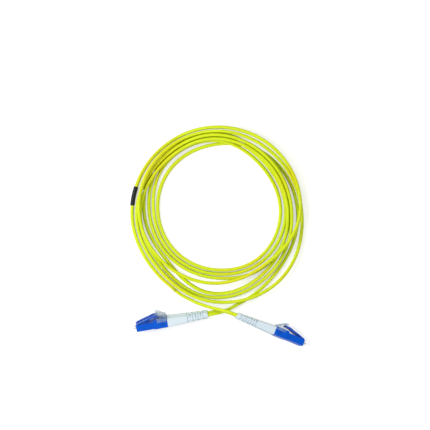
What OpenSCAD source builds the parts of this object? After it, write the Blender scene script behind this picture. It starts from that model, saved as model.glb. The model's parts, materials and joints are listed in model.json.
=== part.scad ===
// Duplex fiber optic patch cord: a flat twin cord, wound into a flat coil, with a small
// form factor duplex plug on each end. Millimetres, +Z up, the coil lies on z = 0.
// A plug's own frame: +X towards its nose, x = 0 at the rear face of its blue housings,
// Y across the pair of connectors, +Z on the latch side.

/* [Cord] */
// Diameter of one core of the twin cord, which is also a leg's diameter
core_d = 2; // [1.8:0.1:2.1]
// Height of the twin cord, standing on its edge
twin_h = 4.1; // [4:0.1:4.3]
// Width of the twin cord across its fattest part
twin_w = 1.9; // [1.7:0.1:1.9]
// Length of the black sleeve on the outermost turn
sleeve_len = 12.5; // [10:0.5:14]

/* [Coil] */
// Shift of the coil's centre from the origin along X
coil_x = -3.6; // [-4:0.1:-3]
// Shift of the coil's centre from the origin along Y
coil_y = 74.7; // [74.5:0.1:76]
// Height that one turn lies above the turn that it crosses
turn_step = 4.6; // [4.6:0.1:5]
// Height that the cord climbs or falls from one ring to the next
climb = 2; // [1.8:0.1:2.4]

/* [Connectors] */
// Distance between the two connectors of a plug
pitch = 6.25; // [6.25:0.05:6.4]
// Length of a blue housing
housing_len = 20.5; // [20.3:0.1:21]
// Width of a housing's rear half
shell_w = 5.4; // [5.3:0.05:5.4]
// Height of a housing's rear half
shell_h = 5.8; // [5.7:0.05:5.9]
// Width and height of a housing's nose
nose_w = 4.5; // [4.4:0.05:4.55]
// Diameter of the ceramic ferrule
ferrule_d = 1.25; // [1.2:0.01:1.25]
// Length of the ferrule in front of the housing
ferrule_out = 1.8; // [1.5:0.1:2]
// Length of the white boot behind the housing
boot_len = 26.7; // [24:0.1:28]

/* [Spring] */
// Diameter of the spring wire
spring_wire = 0.4; // [0.3:0.05:0.4]
// Number of curls in a spring
spring_curls = 6; // [4:1:7]

/* [Hidden] */
SIDES = ["a1", "a2", "b1", "b2"];
PLUGS = ["a", "b"];
PIECES = ["housing", "latch", "ferrule", "ferrule_hub", "spring", "rear_body", "crimp_ring",
          "buffer_fiber", "boot"];
$fn = 48;
EPS = 0.01;

cord_yellow = [0.80, 0.85, 0.22];
plug_blue = [0.10, 0.33, 0.66];
boot_white = [0.94, 0.94, 0.92];
clip_grey = [0.72, 0.75, 0.78, 0.7];

// ---- where each plug lies: place of its frame's origin, and its roll, pitch and heading
plug_at = [[-33.85, 4.5, 6.16], [35, -1.65, 8.56]];
plug_turn = [[77.5, 0, 190.3], [-97, 8.5, -22.9]];
// Plug of each connector, and the side of the plug that it is on
plug_of = [0, 0, 1, 1];
side_of = [1, -1, -1, 1];

// ---- pieces of a connector, along its own axis
wall_gap = 0.05;
rear_bore_r = 2;
shell_rise = 0.3;
rear_bore_x = 5.1;
chamber_r = 1.65;
partition_x = 15.4;
partition_t = 0.6;
nose_bore_r = 1.6;
shell_len = 9;
hub_collar_x = 14;
neck_r = 1.1;
hub_tail_r = 0.95;
hub_tail_x = 7;
hub_seat_x = 14.4;
neck_end_x = 17;
ferrule_r = ferrule_d / 2;
ferrule_tip_x = housing_len + ferrule_out;
buffer_r = 0.45;
buffer_end_x = 11.5;
core_r = core_d / 2;
jacket_x = -6.2;
boot_collar_x = -7;
// Latch and trigger hinge lines, as [x, z]
latch_axis = [19, 2.3];
latch_pin_r = 0.45;
trigger_axis = [1.1, 4.35];
trigger_pin_r = 0.5;
clip_y = 6.5;
clip_x = [0.3, 6.6];
clip_z = [1.4, 3.9];
trigger_y = 4.75;

// A bar along X with rounded long edges: width along Y, height along Z, centred on the axis
module rounded_bar(length, width, height, edge) {
    rotate([90, 0, 90]) linear_extrude(length) {
        square([width - 2 * edge, height], center = true);
        square([width, height - 2 * edge], center = true);
        for (side = [-1, 1], top = [-1, 1])
            translate([side * (width / 2 - edge), top * (height / 2 - edge)]) circle(edge, $fn = 24);
    }
}

// A round rod along X from one x to another
module rod(from, to, r) translate([from, 0, 0]) rotate([0, 90, 0]) cylinder(h = to - from, r = r);

// A turned piece along X: the profile is a list of [x, radius]
module turned(profile) rotate([0, 90, 0]) rotate([0, 0, 90]) rotate_extrude()
    polygon([for (p = profile) [p[1], p[0]]]);

// A plate: an outline in the XZ plane, given a width across Y
module side_profile(points, width)
    translate([0, width / 2, 0]) rotate([90, 0, 0]) linear_extrude(width) polygon(points);

module housing() color(plug_blue) difference() {
    union() {
        translate([0, 0, shell_rise]) rounded_bar(shell_len, shell_w, shell_h, 0.5);
        intersection() {
            translate([shell_len - EPS, 0, 0])
                rounded_bar(housing_len - shell_len + EPS, nose_w, nose_w, 0.4);
            side_profile([[0, -nose_w], [housing_len - 0.4, -nose_w], [housing_len, -1.85],
                [housing_len, 1.85], [housing_len - 0.6, nose_w / 2], [0, nose_w / 2]], nose_w + 1);
        }
        // root of the latch, in front of its pin
        side_profile([[latch_axis[0], 0], [housing_len - 0.6, 0], [housing_len - 0.6, nose_w / 2],
            [housing_len - 1, 2.75], [latch_axis[0] + 0.2, 2.95], [latch_axis[0], 2.95]], 3.2);
    }
    rod(-EPS, rear_bore_x, rear_bore_r);
    rod(rear_bore_x - EPS, partition_x, chamber_r);
    rod(partition_x - EPS, partition_x + partition_t + EPS, neck_r + 0.1);
    rod(partition_x + partition_t, housing_len + EPS, nose_bore_r);
    // groove that the latch's pin turns in
    translate([latch_axis[0], 0, latch_axis[1]]) rotate([90, 0, 0])
        cylinder(h = shell_w, r = latch_pin_r + wall_gap, center = true);
    // windows for the rear body's tabs, and shallow grips on both cheeks
    for (side = [-1, 1]) {
        translate([2.2, side * shell_w / 2 - 1, -0.9]) cube([2, 2, 1.8]);
        translate([10.5, side * nose_w / 2 - 0.25, -1.3]) cube([5, 0.5, 2.6]);
    }
}

// Pivots about its pin at the nose and rises backwards, in a shallow S, to the tail that the
// trigger presses. The edges are lists of [x, z].
latch_top = [[19.1, 2.75], [18.5, 2.95], [17.6, 3.32], [16.6, 3.65], [15.3, 3.98], [14, 4.31],
    [12.7, 4.64], [11.4, 5.03], [10.1, 5.5], [8.8, 5.85], [7.4, 5.98], [5.4, 6]];
latch_under = [[5.4, 5.2], [7.4, 5.15], [8.8, 4.92], [10.1, 4.52], [11.4, 4.05], [12.7, 3.66],
    [14, 3.35], [15.3, 3.08], [16.6, 2.84], [17.6, 2.65], [18.7, 2.45]];
latch_w = 2.4;
module latch() color(plug_blue) {
    translate([latch_axis[0], 0, latch_axis[1]]) rotate([90, 0, 0])
        cylinder(h = 3.2, r = latch_pin_r, center = true);
    side_profile(concat(latch_top, latch_under), latch_w);
    // lugs that catch in the socket
    side_profile([[12.9, 3.62], [14.1, 3.33], [14.1, 4.1], [12.9, 4.59]], nose_w);
}

// Held in its hub behind a short waist, and free in front of it
waist_x = [neck_end_x - 0.55, neck_end_x + 0.05];
waist_r = 0.45;
module ferrule() color([0.95, 0.95, 0.93]) turned([
    [hub_seat_x, 0], [hub_seat_x, ferrule_r], [waist_x[0], ferrule_r], [waist_x[0], waist_r],
    [waist_x[1], waist_r], [waist_x[1], ferrule_r], [ferrule_tip_x - 0.25, ferrule_r],
    [ferrule_tip_x, ferrule_r - 0.15], [ferrule_tip_x, 0]]);

module ferrule_hub() color([0.75, 0.75, 0.77]) turned([
    [hub_tail_x, buffer_r + wall_gap], [hub_tail_x, hub_tail_r], [hub_collar_x, hub_tail_r],
    [hub_collar_x, chamber_r - 0.1], [partition_x - 0.2, chamber_r - 0.1], [partition_x - 0.2, neck_r],
    [neck_end_x, neck_r], [neck_end_x, ferrule_r + EPS], [hub_seat_x - EPS, ferrule_r + EPS],
    [hub_seat_x - EPS, buffer_r + wall_gap]]);

module rear_body() color([0.80, 0.80, 0.82]) difference() {
    union() {
        rod(-1, rear_bore_x - 0.1, rear_bore_r - 0.1);
        rod(-6, -1 + EPS, 1.5);
        translate([2.3, -shell_w / 2 + 0.15, -0.8]) cube([1.8, shell_w - 0.3, 1.6]);
    }
    rod(-7, rear_bore_x, 0.75);
}

module crimp_ring() color([0.70, 0.70, 0.72]) turned([
    [-5.5, 1.55], [-1.05, 1.55], [-1.05, 1.9], [-6.1, 1.9], [-6.5, 1.35], [-9, 1.35],
    [-9, core_r + wall_gap], [-6.1, core_r + wall_gap], [-6.1, 1.55]]);

module buffer_fiber() color([0.96, 0.96, 0.94]) rod(jacket_x, buffer_end_x, buffer_r);

// Soft boot: as square as the housing at its front, round at its rear, and its rear half is
// slotted from two sides at a time, so that it bends
boot_front_y = 2.6;
boot_front_z = [-2.5, 3.1];
boot_corner_r = 3.5;
boot_rear_r = 1.95;
boot_slots = 7;
boot_slot_x = -13;
boot_slot_pitch = 1.75;
boot_slot_w = 0.8;
boot_slot_depth = 0.55;
boot_spine = 1;
function boot_r(x) = boot_front_y + (boot_front_y - boot_rear_r) * x / boot_len;
module boot_slot(i) {
    x = boot_slot_x - i * boot_slot_pitch - boot_slot_w;
    rotate([90 * (i % 2), 0, 0]) difference() {
        rod(x, x + boot_slot_w, 2 * boot_front_y);
        rod(x - 1, x + 2, boot_r(x) - boot_slot_depth);
        translate([x - 1, -boot_spine / 2, -2 * boot_front_y]) cube([3, boot_spine, 4 * boot_front_y]);
    }
}
module boot() color(boot_white) difference() {
    intersection() {
        side_profile([[-wall_gap, boot_front_z[0]], [-wall_gap, boot_front_z[1]],
            [-boot_len, boot_rear_r], [-boot_len, -boot_rear_r]], 3 * boot_front_y);
        linear_extrude(4 * boot_front_y, center = true) polygon([
            [-wall_gap, -boot_front_y], [-wall_gap, boot_front_y],
            [-boot_len, boot_rear_r], [-boot_len, -boot_rear_r]]);
        turned([[0, 0], [-boot_len, 0], [-boot_len, boot_rear_r - 0.3],
            [-boot_len + 0.3, boot_rear_r], [0, boot_corner_r]]);
    }
    for (i = [0 : boot_slots - 1]) boot_slot(i);
    rod(boot_collar_x, 0.1, rear_bore_r);
    rod(-9.5, boot_collar_x + EPS, 1.45);
    rod(-boot_len - 1, -9, core_r + wall_gap);
}

// ---- spring round the ferrule hub's tail
spring_r = 1.32;
spring_x = [rear_bore_x + 0.2, hub_collar_x - 0.3];
spring_rings = 8;
spring_section = 6;
spring_last = spring_curls * spring_rings;
function spring_point(i) = let (
    turn = 360 * i / spring_rings,
    x = spring_x[0] + (spring_x[1] - spring_x[0]) * i / spring_last)
    [x, spring_r * cos(turn), spring_r * sin(turn)];
module spring() color([0.6, 0.6, 0.62]) tube(
    [for (i = [0 : spring_last]) spring_point(i)],
    [for (i = [0 : spring_last]) let (turn = 360 * i / spring_rings) [0, cos(turn), sin(turn)]],
    [for (i = [0 : spring_last]) [1, 0, 0]],
    [for (k = [0 : spring_section - 1]) let (a = 360 * k / spring_section)
        spring_wire / 2 * [cos(a), sin(a)]]);

// ---- clip that holds the two connectors of a plug together, and the trigger on it
ear_y = [4.9, 6];
clip_foot = [-3.2, -2.66];
module clip() color(clip_grey) difference() {
    union() {
        translate([clip_x[0], 0, (clip_z[0] + clip_z[1]) / 2])
            rounded_bar(clip_x[1] - clip_x[0], 2 * clip_y, clip_z[1] - clip_z[0], 0.6);
        for (side = [-1, 1]) translate([0, side * (ear_y[0] + ear_y[1]) / 2, 0])
            side_profile([[clip_x[0], 3], [2.6, 3], [2.6, 4.1], [2, trigger_axis[1] + 0.7],
                [clip_x[0], trigger_axis[1] + 0.7]], ear_y[1] - ear_y[0]);
        // web between the housings, and the foot that holds both from below
        translate([clip_x[0], 0, 0]) {
            translate([0, -0.35, clip_foot[0]]) cube([clip_x[1] - clip_x[0], 0.7, 6]);
            translate([0, -1.4, clip_foot[0]])
                cube([clip_x[1] - clip_x[0], 2.8, clip_foot[1] - clip_foot[0]]);
        }
    }
    for (side = [-1, 1]) translate([-1, side * pitch / 2, 0]) {
        translate([0, 0, shell_rise])
            rounded_bar(clip_x[1] + 2, shell_w + 2 * wall_gap, shell_h + 2 * wall_gap, 0.45);
        // notch that the latch's tail drops into
        translate([clip_x[1] - 0.8, -1.5, 0]) cube([4, 3, 5]);
    }
    translate([trigger_axis[0], 0, trigger_axis[1]]) rotate([90, 0, 0])
        cylinder(h = 2 * clip_y, r = trigger_pin_r + wall_gap, center = true);
}

// Pivots about its rear pin, and its feet press both latch tails
trigger_outline = [[0.8, 4.7], [1.4, 4], [2.6, 4.6], [4.7, 6.35], [6.6, 6.7], [7, 6.9],
    [7.1, 7.3], [6.7, 7.6], [5.6, 7.5], [4.4, 7.15]];
trigger_foot = [5.8, 6.4];
foot_gap = 0.16;
module trigger() color(clip_grey) {
    translate([trigger_axis[0], 0, trigger_axis[1]]) rotate([90, 0, 0])
        cylinder(h = 2 * ear_y[1] - 0.4, r = trigger_pin_r, center = true);
    side_profile(trigger_outline, 2 * trigger_y);
    for (side = [-1, 1]) translate([0, side * pitch / 2, 0])
        side_profile([
            [trigger_foot[0], 6 + foot_gap], [trigger_foot[1], 6 + foot_gap],
            [trigger_foot[1], 7], [trigger_foot[0], 7]], 2);
}

// ---- sweeping: a ring of section points at each path point, joined by triangles
// side and up give the directions of a section's first and second coordinate at each point
function ring_faces(rings, sides) = concat(
    [for (k = [1 : sides - 2]) [0, k + 1, k]],
    [for (i = [0 : rings - 2], k = [0 : sides - 1], half = [0, 1])
        let (a = i * sides + k, b = i * sides + (k + 1) % sides)
        half == 0 ? [a, b, a + sides] : [b, b + sides, a + sides]],
    [for (k = [1 : sides - 2]) let (last = (rings - 1) * sides) [last, last + k, last + k + 1]]);
module tube(path, side, up, section) polyhedron(
    [for (i = [0 : len(path) - 1], s = section) path[i] + s[0] * side[i] + s[1] * up[i]],
    ring_faces(len(path), len(section)));

// ---- the coil: eight turns, each lying beside or across the ones below it
// Distance from the coil's centre at eight bearings a turn, starting at the front and
// going round anticlockwise seen from above
turn_radii = [
    [64,   56,   54.4, 51.2, 44.4, 40.2, 36.4, 35.3],
    [36.8, 41.3, 43.2, 43.4, 46.9, 44.7, 39.1, 37.9],
    [39.4, 44.3, 46.6, 46.2, 49.4, 47.2, 42,   40.4],
    [42,   47.8, 49.1, 48.7, 51.9, 49.7, 45.4, 43.4],
    [52.3, 50.3, 47.9, 47.4, 48.1, 45.9, 47.8, 48.2],
    [54.9, 53.3, 50.4, 49.9, 50.6, 48.4, 50.2, 50.8],
    [57.5, 61,   57,   54.3, 53,   51,   48.5, 45.8],
    [45.5, 47,   55.7, 57,   55.6, 53.8, 53.2, 53.8]];
lead_radius = 72;
tail_radii = [60.5, 72];
first_bearing = 270;
turn_rings = 24;
bearings = 8;
first_ring = 1;
last_ring = len(turn_radii) * turn_rings - 2;
all_radii = concat([lead_radius], [for (turn = turn_radii) each turn], tail_radii);
// Where the black sleeve's middle is, and its size across
sleeve_turn = len(turn_radii) - 1;
sleeve_bearing = 167.5;
sleeve_ring = sleeve_turn * turn_rings + (sleeve_bearing + 360 - first_bearing) * turn_rings / 360;
sleeve_w = 2.8;
sleeve_h = 4.8;

// Smooth curve through four neighbours: the value at fraction f between the middle two
function between(p, f) = 0.5 * (2 * p[1] + (p[2] - p[0]) * f
    + (2 * p[0] - 5 * p[1] + 4 * p[2] - p[3]) * f * f
    + (3 * p[1] - p[0] - 3 * p[2] + p[3]) * f * f * f);
// Radius of the cord's centre line at ring n, which may be a fraction
function radius(n) = let (u = n * bearings / turn_rings, k = floor(u))
    between([for (j = [-1 : 2]) all_radii[min(max(k + 1 + j, 0), len(all_radii) - 1)]], u - k);

// The cord lies on the ground, or on its sleeve, and on every lower turn that it comes nearer
// to than turn_gap. It climbs and falls by at most one climb from ring to ring.
turn_gap = twin_w + 0.45;
reach = 4;
half_radii = [for (h = [-2 : 2 * (last_ring + reach) + 2]) radius(h / 2)];
function crosses(n, lower) = min([for (h = [0 : 4]) abs(half_radii[2 * n + h] - half_radii[2 * lower + h])])
    < turn_gap;
function carried(n, z) = max(concat([abs(n - sleeve_ring) < 2 ? sleeve_h / 2 : twin_h / 2],
    [for (lower = [n - turn_rings : -turn_rings : 0]) if (crosses(n, lower)) z[lower] + turn_step]));
function piled(carry, z) = len(z) > last_ring ? z : let (
    n = len(z),
    known = concat(carry, [carried(n + reach, z)]),
    near = [for (m = [max(0, n - reach) : n + reach]) known[m] - climb * abs(m - n)])
    piled(known, concat(z, [max(near)]));
heights = piled([for (n = [0 : reach - 1]) twin_h / 2], []);

function bearing(n) = first_bearing + 360 * n / turn_rings;
// The cord leaves its last ring level with the ring before it
function height(n) = let (m = min(n, last_ring - 1), k = floor(m))
    heights[k] + (heights[k + 1] - heights[k]) * (m - k);
function coil_point(n) = let (r = radius(n), b = bearing(n))
    [coil_x + r * cos(b), coil_y + r * sin(b), height(n)];
function unit(v) = v / norm(v);
function flat(v) = [v[0], v[1], 0];
function coil_heading(n) = unit(flat(
    coil_point(min(n + 0.5, last_ring)) - coil_point(max(n - 0.5, first_ring))));
stub = twin_h;
coil_start = coil_point(first_ring) - stub * coil_heading(first_ring);
coil_end = coil_point(last_ring) + stub * coil_heading(last_ring);
coil_path = concat([coil_start], [for (n = [first_ring : last_ring]) coil_point(n)], [coil_end]);
coil_headings = concat([coil_heading(first_ring)], [for (n = [first_ring : last_ring]) coil_heading(n)],
    [coil_heading(last_ring)]);
// Half outline of the twin cord, as [side, height]
twin_flat = 0.6;
twin_section = [[twin_flat, -twin_h / 2], [twin_w / 2, 0], [twin_flat, twin_h / 2],
    [-twin_flat, twin_h / 2], [-twin_w / 2, 0], [-twin_flat, -twin_h / 2]];

// Least clear distance between any turn and the turns below it, at four points a ring
function clear(n, lower) = norm([
    max(0, abs(radius(n) - radius(lower)) - twin_w),
    max(0, coil_point(n)[2] - coil_point(lower)[2] - twin_h)]);
function least_gap() = min([for (n = [first_ring + turn_rings : 0.25 : last_ring])
    for (lower = [n - turn_rings : -turn_rings : first_ring]) clear(n, lower)]);

module cord_coil() {
    echo(least_gap_of_coil = least_gap());
    color(cord_yellow) tube(coil_path,
        [for (h = coil_headings) [h[1], -h[0], 0]], [for (h = coil_headings) [0, 0, 1]], twin_section);
}

// ---- black sleeve on the outermost turn
module marker_sleeve() color([0.12, 0.12, 0.13]) {
    r = radius(sleeve_ring);
    sweep = sleeve_len / r * 180 / PI;
    translate([coil_x, coil_y, coil_point(sleeve_ring)[2]]) rotate([0, 0, sleeve_bearing - sweep / 2])
        rotate_extrude(angle = sweep, $fn = 96) translate([r, 0]) {
            square([sleeve_w, sleeve_h - sleeve_w], center = true);
            for (end = [-1, 1]) translate([0, end * (sleeve_h - sleeve_w) / 2])
                circle(sleeve_w / 2, $fn = 24);
        }
}

// ---- the four legs: from inside the boot, out along the plug's axis, then to the coil
function turn_x(p, a) = [p[0], p[1] * cos(a) - p[2] * sin(a), p[1] * sin(a) + p[2] * cos(a)];
function turn_y(p, a) = [p[0] * cos(a) + p[2] * sin(a), p[1], p[2] * cos(a) - p[0] * sin(a)];
function turn_z(p, a) = [p[0] * cos(a) - p[1] * sin(a), p[0] * sin(a) + p[1] * cos(a), p[2]];
function placed(plug, p) = plug_at[plug]
    + turn_z(turn_y(turn_x(p, plug_turn[plug][0]), plug_turn[plug][1]), plug_turn[plug][2]);
leg_out = 2.5;
function leg_root(i) = [for (x = [jacket_x, -18, -boot_len, -boot_len - leg_out])
    placed(plug_of[i], [x, side_of[i] * pitch / 2, 0])];
// Points between the plug and the coil, from the boot on; z is the leg's centre
leg_bends = [
    [[-2.2, 9.6, 8.5], [0.6, 10.2, 6.9], [2.8, 10.85, 5.3], [4.9, 11.6, 3.9]],
    [[-2.2, 10.9, 2.7], [0.6, 11.2, 2], [2.8, 11.4, 1.45], [4.9, 11.8, 1.1]],
    [[4.6, 11.3, 16.1], [1.2, 12.1, 15.2], [-1.9, 12.8, 13.7], [-5.5, 13.6, 11.5],
        [-9.4, 14.6, 9.1], [-15.8, 16.9, 6], [-21.4, 19.6, 4]],
    [[3.4, 10.9, 10.4], [0.6, 11.6, 9.9], [-2.2, 12.4, 8.8], [-5.5, 13.4, 7.1],
        [-9.4, 14.6, 5.3], [-15.8, 16.9, 2.9], [-21.4, 19.6, 1.5]]];
// Each leg ends on its own core of the twin cord: the first of a plug is the upper one
function leg_tip(i) = let (
    at_start = plug_of[i] == 0,
    tip = at_start ? coil_start : coil_end,
    out = at_start ? -coil_heading(first_ring) : coil_heading(last_ring),
    core = [0, 0, (i % 2 == 0 ? 1 : -1) * (twin_h - core_d) / 2])
    [tip + core + core_d * out, tip + core];
function leg_route(i) = concat(leg_root(i), leg_bends[i], leg_tip(i));
leg_sides = 8;
module cord_leg(i) {
    route = leg_route(i);
    last = len(route) - 1;
    along = [for (k = [0 : last]) unit(route[min(k + 1, last)] - route[max(k - 1, 0)])];
    side = [for (t = along) unit([t[1], -t[0], 0])];
    up = [for (k = [0 : last]) cross(side[k], along[k])];
    color(cord_yellow) tube(route, side, up,
        [for (k = [0 : leg_sides - 1]) core_r * [cos(360 * k / leg_sides), sin(360 * k / leg_sides)]]);
}

// ---- placing: a plug's pieces in the plug's place
module on_plug(plug) translate(plug_at[plug]) rotate(plug_turn[plug]) children();
module on_side(i) on_plug(plug_of[i]) translate([0, side_of[i] * pitch / 2, 0]) children();
module connector_piece(piece) {
    if (piece == "housing") housing();
    if (piece == "latch") latch();
    if (piece == "ferrule") ferrule();
    if (piece == "ferrule_hub") ferrule_hub();
    if (piece == "spring") spring();
    if (piece == "rear_body") rear_body();
    if (piece == "crimp_ring") crimp_ring();
    if (piece == "buffer_fiber") buffer_fiber();
    if (piece == "boot") boot();
}

for (piece = PIECES, i = [0 : 3])
    on_side(i) connector_piece(piece);
for (plug = [0, 1]) {
    on_plug(plug) clip();
    on_plug(plug) trigger();
}
cord_coil();
for (i = [0 : 3])
    cord_leg(i);
marker_sleeve();
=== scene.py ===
"""Duplex fiber optic patch cord: a coiled twin cord with a latching duplex plug on each end."""

import json
import logging
import math
from collections.abc import Mapping, Sequence
from dataclasses import dataclass, field
from enum import Enum
from typing import ClassVar

import bpy
import numpy as np
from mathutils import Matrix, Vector


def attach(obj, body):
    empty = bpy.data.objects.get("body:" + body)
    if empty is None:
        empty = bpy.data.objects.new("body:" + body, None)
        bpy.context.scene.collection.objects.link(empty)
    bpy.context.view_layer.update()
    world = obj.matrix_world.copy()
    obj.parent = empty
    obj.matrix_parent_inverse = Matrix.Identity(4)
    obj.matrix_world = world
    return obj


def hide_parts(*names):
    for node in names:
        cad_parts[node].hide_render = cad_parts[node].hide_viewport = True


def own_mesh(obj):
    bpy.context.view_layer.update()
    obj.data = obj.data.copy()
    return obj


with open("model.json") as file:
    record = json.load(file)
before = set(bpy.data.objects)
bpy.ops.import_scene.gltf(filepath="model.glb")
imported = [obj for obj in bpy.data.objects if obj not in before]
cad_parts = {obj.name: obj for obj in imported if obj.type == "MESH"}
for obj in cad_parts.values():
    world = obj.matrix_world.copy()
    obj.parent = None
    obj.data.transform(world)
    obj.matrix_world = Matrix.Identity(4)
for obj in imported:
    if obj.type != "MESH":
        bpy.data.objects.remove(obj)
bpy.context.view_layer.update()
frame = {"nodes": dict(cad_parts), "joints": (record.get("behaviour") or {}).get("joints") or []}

MM = 0.001
LOG = logging.getLogger("patch_cord")
Colour = tuple[float, float, float]
Point = tuple[float, float, float]


class Plug(Enum):
    """The two plugs, each with its place and its turn about X, Y and Z in degrees."""

    A = ((-33.85, 4.5, 6.16), (77.5, 0.0, 190.3))
    B = ((35.0, -1.65, 8.56), (-97.0, 8.5, -22.9))

    def place(self, local: np.ndarray) -> np.ndarray:
        """Carry points from the plug's own frame into the row's frame.

        A point is turned about X, then Y, then Z, and moved: p' = Rz Ry Rx p + t.

        Args:
            local: Points in millimetres, one in a row, X towards the ferrule tips.

        Returns:
            The points in millimetres in the row's frame.
        """
        moved, angles = self.value
        x, y, z = (math.radians(a) for a in angles)
        about_x = np.array([[1, 0, 0], [0, math.cos(x), -math.sin(x)], [0, math.sin(x), math.cos(x)]])
        about_y = np.array([[math.cos(y), 0, math.sin(y)], [0, 1, 0], [-math.sin(y), 0, math.cos(y)]])
        about_z = np.array([[math.cos(z), -math.sin(z), 0], [math.sin(z), math.cos(z), 0], [0, 0, 1]])
        return local @ (about_z @ about_y @ about_x).T + np.array(moved)


class Side(Enum):
    """The four connectors: the plug that each belongs to and its side of that plug."""

    A1 = (Plug.A, 1)
    A2 = (Plug.A, -1)
    B1 = (Plug.B, -1)
    B2 = (Plug.B, 1)

    @property
    def plug(self) -> Plug:
        """The plug that this connector belongs to."""
        return self.value[0]

    @property
    def tag(self) -> str:
        """The ending of this connector's node names."""
        return self.name.lower()

    @property
    def core(self) -> int:
        """1 if its leg is the upper core of the twin cord, and -1 if it is the lower one."""
        return 1 if self in (Side.A1, Side.B1) else -1


# ---- shader maths


class Value:
    """A number that nodes work out at each point, written with Python's operators."""

    def __init__(self, graph: "Graph", socket: bpy.types.NodeSocket) -> None:
        """Hold an output socket and the graph that its node is in."""
        self.graph = graph
        self.socket = socket

    def _maths(self, operation: str, *terms: "Term") -> "Value":
        """Add one Math node that works on the terms in their order."""
        node = self.graph.node("ShaderNodeMath", {"operation": operation}, dict(enumerate(terms)))
        return Value(self.graph, node.outputs[0])

    def __add__(self, other: "Term") -> "Value":
        """self + other."""
        return self._maths("ADD", self, other)

    def __mul__(self, other: "Term") -> "Value":
        """self * other."""
        return self._maths("MULTIPLY", self, other)

    __radd__ = __add__
    __rmul__ = __mul__

    def step(self, low: float, high: float) -> "Value":
        """A smooth rise from one level to another.

        Args:
            low: Up to here the result is 0.
            high: From here on it is 1.

        Returns:
            The result.
        """
        sockets = {"Value": self, "From Min": low, "From Max": high}
        node = self.graph.node("ShaderNodeMapRange", {"interpolation_type": "SMOOTHSTEP"}, sockets)
        return Value(self.graph, node.outputs[0])


Term = Value | float
Feed = Value | bpy.types.NodeSocket | float | Sequence[float]


class Graph:
    """The nodes of one material or of the world."""

    def __init__(self, owner: bpy.types.Material | bpy.types.World) -> None:
        """Empty a node tree.

        Args:
            owner: The material or world that the tree is of.
        """
        owner.use_nodes = True
        self.tree = owner.node_tree
        self.tree.nodes.clear()

    def node(
        self, kind: str, settings: Mapping[str, object], sockets: Mapping[str | int, Feed]
    ) -> bpy.types.Node:
        """Add a node, choose its settings and fill its sockets.

        Args:
            kind: The node's type.
            settings: The node's own choices, which are set first.
            sockets: Values or links for its inputs, by name or number.

        Returns:
            The new node.
        """
        made = self.tree.nodes.new(kind)
        for key, choice in settings.items():
            setattr(made, key, choice)
        for key, feed in sockets.items():
            source = feed.socket if isinstance(feed, Value) else feed
            if isinstance(source, bpy.types.NodeSocket):
                self.tree.links.new(source, made.inputs[key])
            else:
                made.inputs[key].default_value = source
        return made

    def seen_rays(self) -> Value:
        """Tell what the camera sees straight, in a reflection or through something clear.

        Returns:
            1 for such rays and 0 for others.
        """
        path = self.node("ShaderNodeLightPath", {}, {})
        camera, glossy, through = (
            Value(self, path.outputs[f"Is {kind} Ray"]) for kind in ("Camera", "Glossy", "Transmission")
        )
        return camera + glossy + through


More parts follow.
